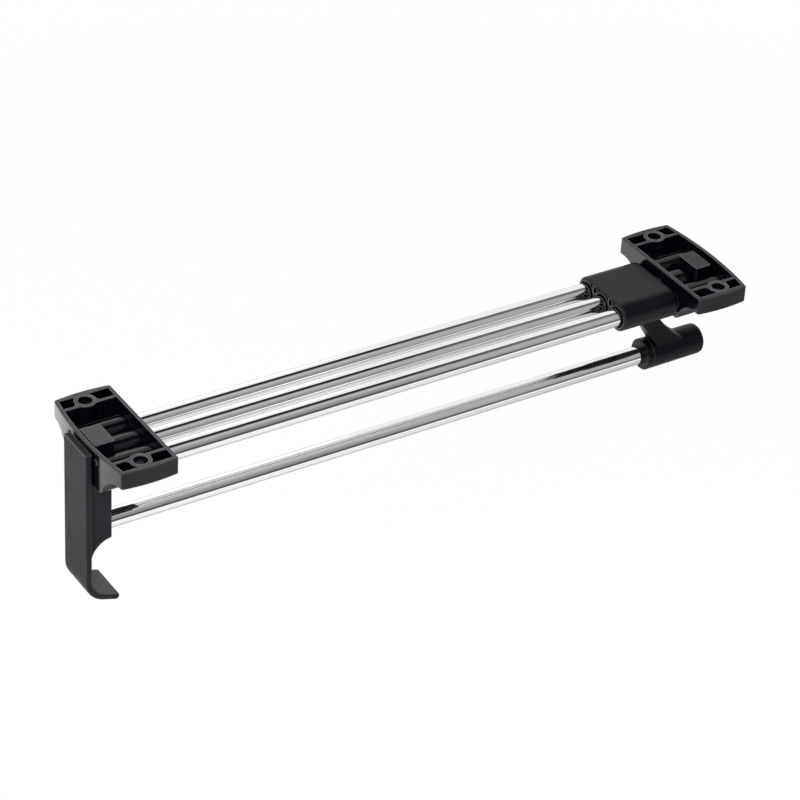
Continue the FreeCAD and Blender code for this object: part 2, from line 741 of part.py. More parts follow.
SIDES = (("left", "tube_pitch"), ("right", "-tube_pitch"))
nodes = [front_bracket(), rear_bracket(), guide_bush()]
for word, place in SIDES:
    nodes.append(sleeve(f"guide_tube_{word}", place, "tube_depth", "-tube_inset",
                        "hole_line_distance + tube_inset", TUBE_BORE, "tube_radius"))
    nodes.append(stop_ring(f"front_stop_ring_{word}", place, INNER_EDGE))
    nodes.append(stop_ring(f"rear_stop_ring_{word}", place, f"{REAR_INNER_EDGE} - stop_ring_thickness"))
    front_bush = "(carriage_front + bush_recess)"
    rear_bush = f"({CARRIAGE_REAR} - bush_recess - bush_length)"
    for end, start in (("front", front_bush), ("rear", rear_bush)):
        nodes.append(sleeve(f"slide_bush_{end}_{word}", place, "tube_depth", start,
                            f"{start} + bush_length", TUBE_RUN, "bush_radius - seat_clearance"))

BRACKET_SCREW_TOP = f"(tube_depth + {TUBE_SEAT})"
for end, x in (("front", "set_screw_offset"), ("rear", "(hole_line_distance - set_screw_offset)")):
    nodes.append(set_screws(f"tube_set_screws_{end}", [(x, y) for _, y in SIDES],
                            "bracket_height", BRACKET_SCREW_TOP))
nodes.append(set_screws("centre_tube_set_screw", [("carriage_screw_place", "0")],
                        "carriage_bottom", BRACKET_SCREW_TOP))
nodes.append(set_screws("rail_set_screw", [("rail_screw_place", "0")],
                        "rail_depth + socket_end_radius", f"rail_depth + {TUBE_SEAT}"))
nodes.append(sleeve("centre_tube", "0", "tube_depth", f"{PLATE_BACK} + seat_clearance", "centre_tube_end",
                    TUBE_BORE, "tube_radius"))
nodes.append(centre_tube_plug())
nodes.append(sleeve("hanging_rail", "0", "rail_depth", "block_back - rail_socket_depth", "rail_end",
                    TUBE_BORE, "tube_radius"))
nodes += [carriage(), rail_hanger(), rail_collar(), handle()]
doc.recompute()

for thing in doc.Objects:
    if "Invalid" in thing.State or "Error" in thing.State:
        raise RuntimeError(f"{thing.Label} failed: {thing.State}")
os.makedirs("parts", exist_ok=True)
for node in nodes:
    if node.Shape.isNull() or not node.Shape.isValid():
        raise RuntimeError(f"{node.Label} has no valid shape")
    box = node.Shape.BoundBox
    print(f"{node.Label}: {len(node.Shape.Solids)} solid(s), volume {node.Shape.Volume:.0f} mm3, "
          f"X {box.XMin:.1f} to {box.XMax:.1f}, Y {box.YMin:.1f} to {box.YMax:.1f}, "
          f"Z {box.ZMin:.1f} to {box.ZMax:.1f}")
    node.Shape.exportStep(f"parts/{node.Label}.step")
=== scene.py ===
"""Looks of a pull-out clothes rail: black mouldings and chromed tubes in a white studio."""

import logging
import math
from dataclasses import dataclass, replace
from enum import Enum

import bpy
from mathutils import Matrix, Vector


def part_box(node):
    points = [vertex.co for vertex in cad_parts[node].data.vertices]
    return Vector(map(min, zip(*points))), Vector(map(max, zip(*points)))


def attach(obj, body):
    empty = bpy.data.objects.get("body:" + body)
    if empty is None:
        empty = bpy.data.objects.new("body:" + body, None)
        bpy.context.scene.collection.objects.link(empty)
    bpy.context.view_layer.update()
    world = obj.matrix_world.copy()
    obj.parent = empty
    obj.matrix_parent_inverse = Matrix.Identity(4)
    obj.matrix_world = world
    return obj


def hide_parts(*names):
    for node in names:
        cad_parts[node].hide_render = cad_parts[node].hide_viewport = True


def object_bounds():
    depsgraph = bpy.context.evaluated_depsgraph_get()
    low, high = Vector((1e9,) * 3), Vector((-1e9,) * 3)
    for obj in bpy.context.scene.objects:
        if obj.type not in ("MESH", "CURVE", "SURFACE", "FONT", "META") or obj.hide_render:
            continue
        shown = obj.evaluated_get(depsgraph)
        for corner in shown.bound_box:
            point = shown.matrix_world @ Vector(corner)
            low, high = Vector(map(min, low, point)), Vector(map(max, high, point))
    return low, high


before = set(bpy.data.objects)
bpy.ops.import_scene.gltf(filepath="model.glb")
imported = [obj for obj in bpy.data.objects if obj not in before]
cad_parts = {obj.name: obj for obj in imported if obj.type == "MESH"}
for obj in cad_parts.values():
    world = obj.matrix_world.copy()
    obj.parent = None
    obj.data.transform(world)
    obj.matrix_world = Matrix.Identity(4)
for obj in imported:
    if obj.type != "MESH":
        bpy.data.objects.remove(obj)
CAD_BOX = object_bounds()

MILLIMETRE = 0.001
HALF_TURN = 180.0
FULL_TURN = 360.0
LOG = logging.getLogger("clothes_rail")

Colour = tuple[float, float, float]
Point = tuple[float, float, float]
Reach = tuple[float, float]
Bands = tuple[tuple[float, float], ...]
Number = float | bpy.types.NodeSocket
Shade = Colour | bpy.types.NodeSocket


def grey(tone: float) -> tuple[float, float, float, float]:
    """A grey of one tone, as a colour socket takes it."""
    return (tone, tone, tone, 1.0)


class Body(Enum):
    """The two rigid bodies that the slide joins."""

    FRAME = "frame"
    SLIDER = "slider"


class Slot(Enum):
    """The record's material slots."""

    CHROME = "chrome_tube"


class End(Enum):
    """The two ends of the guide tubes."""

    FRONT = "front"
    REAR = "rear"


class Side(Enum):
    """The two sides of the slide, seen from the handle."""

    LEFT = "left"
    RIGHT = "right"


class Look(Enum):
    """The finishes that the pieces are given."""

    GLOSS_MOULDING = "gloss_black_moulding"
    SATIN_MOULDING = "satin_black_moulding"
    HANGER_MOULDING = "hanger_black_moulding"
    MATT_MOULDING = "matt_black_moulding"
    ACETAL = "plain_acetal"
    RUBBER = "stop_rubber"
    CHROME = "bright_chrome"
    OXIDE = "oxide_steel"


class Wiring:
    """A node tree that is filled node by node."""

    # Places of the Mix node's sockets for the share, the two colours and the result
    MIX_SHARE = 0
    MIX_COLOURS = (6, 7)
    MIX_RESULT = 2

    def __init__(self, tree: bpy.types.NodeTree) -> None:
        """Take the tree of a material, a world or a group, and empty it."""
        self.tree = tree
        tree.nodes.clear()

    def node(self, kind: str, **settings: object) -> bpy.types.Node:
        """Add a node.

        Args:
            kind: the node's type.
            settings: properties of the node.

        Returns:
            The new node.
        """
        made = self.tree.nodes.new(kind)
        for name, value in settings.items():
            setattr(made, name, value)
        return made

    def link(self, source: bpy.types.NodeSocket, target: bpy.types.NodeSocket) -> None:
        """Join an output to an input."""
        self.tree.links.new(source, target)

    def math(self, operation: str, first: Number, second: Number = 0.0) -> bpy.types.NodeSocket:
        """Add a sum of one or two values.

        Args:
            operation: the Math node's operation.
            first: a socket or a number.
            second: a socket or a number.

        Returns:
            The result's socket.
        """
        made = self.node("ShaderNodeMath", operation=operation)
        for place, value in enumerate((first, second)):
            if isinstance(value, bpy.types.NodeSocket):
                self.link(value, made.inputs[place])
            else:
                made.inputs[place].default_value = value
        return made.outputs["Value"]

    def span(self, value: bpy.types.NodeSocket, source: Reach, target: Reach,
             smooth: bool = False) -> bpy.types.NodeSocket:
        """Map one range of a value onto another.

        Args:
            value: the value to map.
            source: its low and high end.
            target: what these become.
            smooth: whether the ends are eased.

        Returns:
            The result's socket.
        """
        made = self.node("ShaderNodeMapRange", clamp=True)
        made.interpolation_type = "SMOOTHSTEP" if smooth else "LINEAR"
        self.link(value, made.inputs["Value"])
        made.inputs["From Min"].default_value, made.inputs["From Max"].default_value = source
        made.inputs["To Min"].default_value, made.inputs["To Max"].default_value = target
        return made.outputs["Result"]

    def blend(self, share: bpy.types.NodeSocket, first: Shade, second: Shade) -> bpy.types.NodeSocket:
        """Mix two colours.

        Args:
            share: how much of the second colour shows.
            first: the colour at 0, or its socket.
            second: the colour at 1, or its socket.

        Returns:
            The colour's socket.
        """
        made = self.node("ShaderNodeMix", data_type="RGBA")
        self.link(share, made.inputs[self.MIX_SHARE])
        for place, value in zip(self.MIX_COLOURS, (first, second)):
            if isinstance(value, bpy.types.NodeSocket):
                self.link(value, made.inputs[place])
            else:
                made.inputs[place].default_value = (*value, 1.0)
        return made.outputs[self.MIX_RESULT]

    def shaders(self, share: bpy.types.NodeSocket, first: bpy.types.NodeSocket,
                second: bpy.types.NodeSocket) -> bpy.types.NodeSocket:
        """Mix two shaders.

        Args:
            share: how much of the second shader shows.
            first: the shader at 0.
            second: the shader at 1.

        Returns:
            The mixed shader's socket.
        """
        made = self.node("ShaderNodeMixShader")
        for place, value in enumerate((share, first, second)):
            self.link(value, made.inputs[place])
        return made.outputs["Shader"]

    def place(self, group: bpy.types.NodeTree, **values: float) -> bpy.types.Node:
        """Place a shared effect in this tree.

        Args:
            group: the effect's node group.
            values: its inputs, by their names in small letters.

        Returns:
            The group node.
        """
        made = self.node("ShaderNodeGroup", node_tree=group)
        for name, value in values.items():
            made.inputs[name.capitalize()].default_value = value
        return made


class Effects:
    """The surface effects that several finishes share, each one a node group."""

    # Samples of an edge, and the inward openness at which its painted highlight and wear start and are
    # full
    EDGE_SAMPLES = 6
    INWARD_SAMPLES = 8
    EDGE_OPENNESS: Reach = (0.96, 0.7)
    # Fineness of the grain and the marks, and the part of the clouds that shows as marks
    GRAIN_DETAIL = 3.0
    MARK_DETAIL = 5.0
    MARK_BEND = 0.6
    MARK_CLOUD: Reach = (0.45, 0.75)

    def __init__(self) -> None:
        """Build the groups once."""
        self.soft_edge = self._soft_edge()
        self.mould_grain = self._mould_grain()
        self.hand_marks = self._hand_marks()

    @staticmethod
    def _start(
            name: str, inputs: dict[str, float], outputs: dict[str, str],
    ) -> tuple[Wiring, bpy.types.NodeOutputs, bpy.types.NodeInputs]:
        """Start a group.

        Args:
            name: the group's name.
            inputs: its number inputs with their usual values.
            outputs: its outputs with their socket types.

        Returns:
            The wiring, the input sockets and the output sockets, by name.
        """
        tree = bpy.data.node_groups.new(name, "ShaderNodeTree")
        for word, value in inputs.items():
            socket = tree.interface.new_socket(word, in_out="INPUT", socket_type="NodeSocketFloat")
            socket.default_value = value
        for word, kind in outputs.items():
            tree.interface.new_socket(word, in_out="OUTPUT", socket_type=kind)
        wiring = Wiring(tree)
        entry = wiring.node("NodeGroupInput")
        leave = wiring.node("NodeGroupOutput")
        return wiring, entry.outputs, leave.inputs

    def _soft_edge(self) -> bpy.types.NodeTree:
        """Round sharp edges in the shading, and mask the outward ones, which finishes paint lighter: a
        painted highlight, partly wear.

        Returns:
            The group.
        """
        wiring, given, result = self._start(
            "soft_edge", {"Radius": 0.4 * MILLIMETRE},
            {"Normal": "NodeSocketVector", "Edge": "NodeSocketFloat"})
        bevel = wiring.node("ShaderNodeBevel", samples=self.EDGE_SAMPLES)
        inward = wiring.node(
            "ShaderNodeAmbientOcclusion", samples=self.INWARD_SAMPLES, inside=True, only_local=True)
        wiring.link(given["Radius"], bevel.inputs["Radius"])
        wiring.link(given["Radius"], inward.inputs["Distance"])
        wiring.link(bevel.outputs["Normal"], result["Normal"])
        wiring.link(wiring.span(inward.outputs["AO"], self.EDGE_OPENNESS, (0.0, 1.0)), result["Edge"])
        return wiring.tree

    def _mould_grain(self) -> bpy.types.NodeTree:
        """The spark-eroded grain of a mould, and the slow change of tone along the melt's flow.

        Returns:
            The group.
        """
        wiring, given, result = self._start(
            "mould_grain", {"Grain": 4000.0, "Flow": 40.0},
            {"Height": "NodeSocketFloat", "Flow": "NodeSocketFloat"})
        place = wiring.node("ShaderNodeTexCoord").outputs["Object"]
        cells = wiring.node("ShaderNodeTexVoronoi", feature="SMOOTH_F1")
        fine = wiring.node("ShaderNodeTexNoise")
        slow = wiring.node("ShaderNodeTexNoise")
        fine.inputs["Detail"].default_value = self.GRAIN_DETAIL
        for texture in (cells, fine, slow):
            wiring.link(place, texture.inputs["Vector"])
        wiring.link(given["Grain"], cells.inputs["Scale"])
        wiring.link(given["Grain"], fine.inputs["Scale"])
        wiring.link(given["Flow"], slow.inputs["Scale"])
        wiring.link(wiring.math("ADD", cells.outputs["Distance"], fine.outputs["Fac"]), result["Height"])
        wiring.link(slow.outputs["Fac"], result["Flow"])
        return wiring.tree

    def _hand_marks(self) -> bpy.types.NodeTree:
        """Faint prints and wipe marks that make a polished surface a little duller in places.

        Returns:
            The group.
        """
        wiring, given, result = self._start(
            "hand_marks", {"Size": 30.0, "Stretch": 1.0}, {"Mark": "NodeSocketFloat"})
        place = wiring.node("ShaderNodeTexCoord").outputs["Object"]
        split = wiring.node("ShaderNodeSeparateXYZ")
        join = wiring.node("ShaderNodeCombineXYZ")
        wiring.link(place, split.inputs["Vector"])
        wiring.link(wiring.math("MULTIPLY", split.outputs["X"], given["Stretch"]), join.inputs["X"])
        wiring.link(split.outputs["Y"], join.inputs["Y"])
        wiring.link(split.outputs["Z"], join.inputs["Z"])
        cloud = wiring.node("ShaderNodeTexNoise")
        cloud.inputs["Detail"].default_value = self.MARK_DETAIL
        cloud.inputs["Distortion"].default_value = self.MARK_BEND
        wiring.link(join.outputs["Vector"], cloud.inputs["Vector"])
        wiring.link(given["Size"], cloud.inputs["Scale"])
        wiring.link(wiring.span(cloud.outputs["Fac"], self.MARK_CLOUD, (0.0, 1.0)), result["Mark"])
        return wiring.tree


@dataclass(frozen=True)
class Finish:
    """What every finish has: its look and a way to start its material."""

    look: Look

    def start(self) -> tuple[bpy.types.Material, Wiring, bpy.types.Node]:
        """Start the material.

        Returns:
            The material, its wiring and its shader.
        """
        material = bpy.data.materials.new(self.look.value)
        material.use_nodes = True
        wiring = Wiring(material.node_tree)
        shader = wiring.node("ShaderNodeBsdfPrincipled")
        output = wiring.node("ShaderNodeOutputMaterial")
        wiring.link(shader.outputs["BSDF"], output.inputs["Surface"])
        return material, wiring, shader

    def make(self, effects: Effects) -> bpy.types.Material:
        """Make the material, each kind of finish in its own way."""
        raise NotImplementedError


@dataclass(frozen=True)
class MouldedFinish(Finish):
    """A moulded polymer or rubber: grained, with its outward edges painted a little lighter, a painted
    highlight that is partly wear.
    """

    dark: Colour
    light: Colour
    # Colour of the outward edges: a painted highlight, partly wear
    edge_glint_and_wear: Colour
    roughness: Reach
    gloss: float
    grain: float
    relief: float
    edge_radius: float
    mark_size: float = 55.0
    least_glint_and_wear: float = 0.6
    glint_and_wear_flow: Reach = (0.3, 0.7)
    grain_depth: float = 0.01 * MILLIMETRE

    def body_colour(self, wiring: Wiring, flow: bpy.types.NodeSocket) -> bpy.types.NodeSocket:
        """The colour between the lighter edges, which follows the slow change of tone."""
        return wiring.blend(flow, self.dark, self.light)

    def make(self, effects: Effects) -> bpy.types.Material:
        """Make the material.

        Args:
            effects: the shared surface effects.

        Returns:
            The material.
        """
        material, wiring, shader = self.start()
        shader.inputs["Specular IOR Level"].default_value = self.gloss
        grain = wiring.place(effects.mould_grain, grain=self.grain)
        edge = wiring.place(effects.soft_edge, radius=self.edge_radius)
        marks = wiring.place(effects.hand_marks, size=self.mark_size)
        body = self.body_colour(wiring, grain.outputs["Flow"])
        # Outward edges painted lighter, patchy along the flow: a painted highlight, partly wear
        patchy = wiring.span(grain.outputs["Flow"], self.glint_and_wear_flow, (self.least_glint_and_wear, 1.0))
        glint_and_wear = wiring.math("MULTIPLY", edge.outputs["Edge"], patchy)
        wiring.link(wiring.blend(glint_and_wear, body, self.edge_glint_and_wear), shader.inputs["Base Color"])
        dulled = wiring.span(marks.outputs["Mark"], (0.0, 1.0), self.roughness)
        wiring.link(dulled, shader.inputs["Roughness"])
        bump = wiring.node("ShaderNodeBump")
        bump.inputs["Strength"].default_value = self.relief
        bump.inputs["Distance"].default_value = self.grain_depth
        wiring.link(grain.outputs["Height"], bump.inputs["Height"])
        wiring.link(edge.outputs["Normal"], bump.inputs["Normal"])
        wiring.link(bump.outputs["Normal"], shader.inputs["Normal"])
        return material


@dataclass(frozen=True)
class HookHighlightFinish(MouldedFinish):
    """A moulded polymer with a painted highlight: paler low down, on what faces up."""

    # Colour of the painted highlight in the hook
    hook_highlight: Colour = (0.088, 0.087, 0.083)
    highlight_height: Reach = (-80.0 * MILLIMETRE, -86.0 * MILLIMETRE)
    highlight_facing: Reach = (0.35, 0.85)

    def body_colour(self, wiring: Wiring, flow: bpy.types.NodeSocket) -> bpy.types.NodeSocket:
        """The colour between the lighter edges, with a painted highlight that makes it paler in the hook.

        Args:
            wiring: the material.
            flow: the slow change of tone.

        Returns:
            The colour's socket.
        """
        place = wiring.node("ShaderNodeSeparateXYZ")
        wiring.link(wiring.node("ShaderNodeTexCoord").outputs["Object"], place.inputs["Vector"])
        facing = wiring.node("ShaderNodeSeparateXYZ")
        wiring.link(wiring.node("ShaderNodeNewGeometry").outputs["Normal"], facing.inputs["Vector"])
        # Painted highlight: paler low down where faces point up to the light
        low = wiring.span(place.outputs["Z"], self.highlight_height, (0.0, 1.0), smooth=True)
        upward = wiring.span(facing.outputs["Z"], self.highlight_facing, (0.0, 1.0), smooth=True)
        plain = super().body_colour(wiring, flow)
        return wiring.blend(wiring.math("MULTIPLY", low, upward), plain, self.hook_highlight)


@dataclass(frozen=True)
class ChromeFinish(Finish):
    """Bright plating on steel, with faint prints."""

    bright: Colour
    dull: Colour
    roughness: Reach
    mark_size: float = 24.0
    mark_stretch: float = 0.25

    def make(self, effects: Effects) -> bpy.types.Material:
        """Make the material.

        Args:
            effects: the shared surface effects.

        Returns:
            The material.
        """
        material, wiring, shader = self.start()
        shader.inputs["Metallic"].default_value = 1.0
        marks = wiring.place(effects.hand_marks, size=self.mark_size, stretch=self.mark_stretch)
        plating = wiring.blend(marks.outputs["Mark"], self.bright, self.dull)
        wiring.link(plating, shader.inputs["Base Color"])
        dulled = wiring.span(marks.outputs["Mark"], (0.0, 1.0), self.roughness)
        wiring.link(dulled, shader.inputs["Roughness"])
        return material


@dataclass(frozen=True)
class SteelFinish(Finish):
    """Dark oxide on a steel screw."""

    dark: Colour
    light: Colour
    roughness: Reach
    edge_radius: float
    grain: float = 2500.0
    flow: float = 900.0

    def make(self, effects: Effects) -> bpy.types.Material:
        """Make the material.

        Args:
            effects: the shared surface effects.

        Returns:
            The material.
        """
        material, wiring, shader = self.start()
        shader.inputs["Metallic"].default_value = 1.0
        grain = wiring.place(effects.mould_grain, grain=self.grain, flow=self.flow)
        edge = wiring.place(effects.soft_edge, radius=self.edge_radius)
        oxide = wiring.blend(edge.outputs["Edge"], self.dark, self.light)
        wiring.link(oxide, shader.inputs["Base Color"])
        patchy = wiring.span(grain.outputs["Flow"], (0.0, 1.0), self.roughness)
        wiring.link(patchy, shader.inputs["Roughness"])
        wiring.link(edge.outputs["Normal"], shader.inputs["Normal"])
        return material


SATIN = MouldedFinish(
    Look.SATIN_MOULDING, dark=(0.0014, 0.0012, 0.0034), light=(0.0024, 0.0021, 0.0050),
    edge_glint_and_wear=(0.2, 0.2, 0.206), roughness=(0.40, 0.46), gloss=0.23, grain=4200.0, relief=0.18,
    edge_radius=0.6 * MILLIMETRE)

FINISHES: tuple[Finish, ...] = (
    MouldedFinish(
        Look.GLOSS_MOULDING, dark=(0.0014, 0.0012, 0.0034), light=(0.0022, 0.0019, 0.0048),
        edge_glint_and_wear=(0.12, 0.12, 0.124), roughness=(0.15, 0.2), gloss=0.33, grain=4200.0, relief=0.12,
        edge_radius=0.6 * MILLIMETRE),
    SATIN,
    replace(SATIN, look=Look.HANGER_MOULDING, edge_glint_and_wear=(0.05, 0.05, 0.052), gloss=0.17),
    HookHighlightFinish(
        Look.MATT_MOULDING, dark=(0.0168, 0.0162, 0.0196), light=(0.0220, 0.0213, 0.0254),
        edge_glint_and_wear=(0.17, 0.17, 0.175), roughness=(0.44, 0.5), gloss=0.08, grain=3600.0, relief=0.25,
        edge_radius=0.6 * MILLIMETRE),
    MouldedFinish(
        Look.ACETAL, dark=(0.0018, 0.0017, 0.0022), light=(0.0032, 0.0030, 0.0040),
        edge_glint_and_wear=(0.01, 0.01, 0.01), roughness=(0.3, 0.4), gloss=0.16, grain=6000.0, relief=0.1,
        edge_radius=0.2 * MILLIMETRE),
    MouldedFinish(
        Look.RUBBER, dark=(0.008, 0.008, 0.008), light=(0.014, 0.014, 0.014),
        edge_glint_and_wear=(0.03, 0.03, 0.03), roughness=(0.7, 0.85), gloss=0.25, grain=3000.0, relief=0.5,
        edge_radius=0.2 * MILLIMETRE),
    ChromeFinish(
        Look.CHROME, bright=(0.870, 0.882, 0.878), dull=(0.840, 0.852, 0.848), roughness=(0.03, 0.06)),
    SteelFinish(
        Look.OXIDE, dark=(0.06, 0.06, 0.065), light=(0.3, 0.3, 0.31), roughness=(0.28, 0.5),
        edge_radius=0.12 * MILLIMETRE),
)


class PaintShop:
    """Makes the material of every finish once and gives it to the pieces."""

    def __init__(self) -> None:
        """Make all the materials."""
        effects = Effects()
        self.materials = {finish.look: finish.make(effects) for finish in FINISHES}

    def dress(self, piece: bpy.types.Object, look: Look) -> None:
        """Give a piece one finish all over.

        Args:
            piece: a solid or a new piece.
            look: the finish.
        """
        piece.data.materials.clear()
        piece.data.materials.append(self.materials[look])
        LOG.info("%s: %s, %d faces", piece.name, look.value, len(piece.data.polygons))


@dataclass(frozen=True)
class ChromeTube:
    """A chromed tube, turned finer than its solid and with eased ends."""

    node: str
    wall: float
    end_ease: float
    facets: int = 160
    ease_steps: int = 3
    sharp_angle: float = math.radians(40)

    def build(self) -> bpy.types.Object:
        """Model the tube where its solid is.

        Returns:
            The finished piece.
        """
        low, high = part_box(self.node)
        bpy.ops.object.select_all(action="DESELECT")
        bpy.ops.mesh.primitive_cylinder_add(
            vertices=self.facets, radius=(high.z - low.z) / 2, depth=high.x - low.x,
            end_fill_type="NOTHING", location=(low + high) / 2, rotation=(0.0, math.pi / 2, 0.0))
        piece = bpy.context.object
        piece.name = f"{self.node}_chromed"
        bpy.ops.object.transform_apply(location=True, rotation=True, scale=True)
        wall = piece.modifiers.new("wall", "SOLIDIFY")
        wall.thickness = self.wall
        wall.offset = -1.0
        ease = piece.modifiers.new("eased_ends", "BEVEL")
        ease.width = self.end_ease
        ease.segments = self.ease_steps
        ease.limit_method = "ANGLE"
        ease.angle_limit = self.sharp_angle
        for modifier in (wall, ease):
            bpy.ops.object.modifier_apply(modifier=modifier.name)
        bpy.ops.object.shade_smooth_by_angle(angle=self.sharp_angle)
        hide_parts(self.node)
        return piece


@dataclass(frozen=True)
class SubAssembly:
    """Pieces that ride on one body, with the sizes of its tubes."""

    body: Body
    tube_wall: float = 1.0 * MILLIMETRE
    tube_end_ease: float = 0.25 * MILLIMETRE

    def dress(self, shop: PaintShop, look: Look, *nodes: str) -> None:
        """Give solids that keep their shape one finish."""
        for node in nodes:
            shop.dress(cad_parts[node], look)

    def turn(self, shop: PaintShop, node: str) -> None:
        """Model a tube in place of its solid, chrome it and let it ride on the body.

        Args:
            shop: the finishes.
            node: the tube's solid.
        """
        piece = ChromeTube(node, self.tube_wall, self.tube_end_ease).build()
        shop.dress(piece, Look.CHROME)
        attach(piece, self.body.value)


@dataclass(frozen=True)
class GuideFrame(SubAssembly):
    """What is screwed under the shelf: brackets, guide tubes, liner, stops and set screws."""

    body: Body = Body.FRAME

    def dress_brackets(self, shop: PaintShop) -> None:
        """Finish the two mouldings, the liner in the front one and the screws that lock the tubes.

        Args:
            shop: the finishes.
        """
        for end in End:
            self.dress(shop, Look.GLOSS_MOULDING, f"{end.value}_bracket")
            self.dress(shop, Look.OXIDE, f"tube_set_screws_{end.value}")
        self.dress(shop, Look.ACETAL, "front_guide_bush")

    def dress_stops(self, shop: PaintShop) -> None:
        """Finish the four rings that end the travel.

        Args:
            shop: the finishes.
        """
        for end in End:
            for side in Side:
                self.dress(shop, Look.RUBBER, f"{end.value}_stop_ring_{side.value}")

    def turn_guide_tubes(self, shop: PaintShop) -> None:
        """Turn the two tubes that the carriage runs on."""
        for side in Side:
            self.turn(shop, f"guide_tube_{side.value}")

    def build(self, shop: PaintShop) -> None:
        """Build and dress the whole frame.

        Args:
            shop: the finishes.
        """
        self.dress_brackets(shop)
        self.dress_stops(shop)
        self.turn_guide_tubes(shop)


@dataclass(frozen=True)
class Slider(SubAssembly):
    """What is pulled out: handle, centre tube, carriage, rail hanger and hanging rail."""

    body: Body = Body.SLIDER

    def dress_handle(self, shop: PaintShop) -> None:
        """Finish the pull handle."""
        self.dress(shop, Look.MATT_MOULDING, "handle")

    def dress_carriage(self, shop: PaintShop) -> None:
        """Finish the carriage with its bearings and the screw that locks the centre tube.

        Args:
            shop: the finishes.
        """
        self.dress(shop, Look.SATIN_MOULDING, "carriage", "centre_tube_plug")
        for end in End:
            for side in Side:
                self.dress(shop, Look.ACETAL, f"slide_bush_{end.value}_{side.value}")
        self.dress(shop, Look.OXIDE, "centre_tube_set_screw")

    def dress_hanger(self, shop: PaintShop) -> None:
        """Finish the rail's socket, its collar and the screw that locks the rail.

        Args:
            shop: the finishes.
        """
        self.dress(shop, Look.HANGER_MOULDING, "rail_hanger")
        self.dress(shop, Look.ACETAL, "rail_collar")
        self.dress(shop, Look.OXIDE, "rail_set_screw")

    def turn_rails(self, shop: PaintShop) -> None:
        """Turn the centre tube and the rail that carries the hangers."""
        for node in ("centre_tube", "hanging_rail"):
            self.turn(shop, node)

    def build(self, shop: PaintShop) -> None:
        """Build and dress the whole slider.

        Args:
            shop: the finishes.
        """
        self.dress_handle(shop)
        self.dress_carriage(shop)
        self.dress_hanger(shop)
        self.turn_rails(shop)


@dataclass(frozen=True)
class Softbox:
    """A soft lamp, and whether polished surfaces mirror it."""

    name: str
    place: Point
    width: float
    length: float
    radiance: float
    aim: Point
    mirrored: bool

    def build(self) -> None:
        """Hang the lamp and turn it to what it lights."""
        bpy.ops.object.light_add(type="AREA", location=self.place)
        lamp = bpy.context.object
        lamp.name = self.name
        lamp.data.shape = "RECTANGLE"
        lamp.data.size = self.width
        lamp.data.size_y = self.length
        lamp.data.energy = self.radiance * math.pi * self.width * self.length
        lamp.rotation_euler = (Vector(self.aim) - Vector(self.place)).to_track_quat("-Z", "Y").to_euler()
        lamp.visible_camera = False
        lamp.visible_glossy = self.mirrored


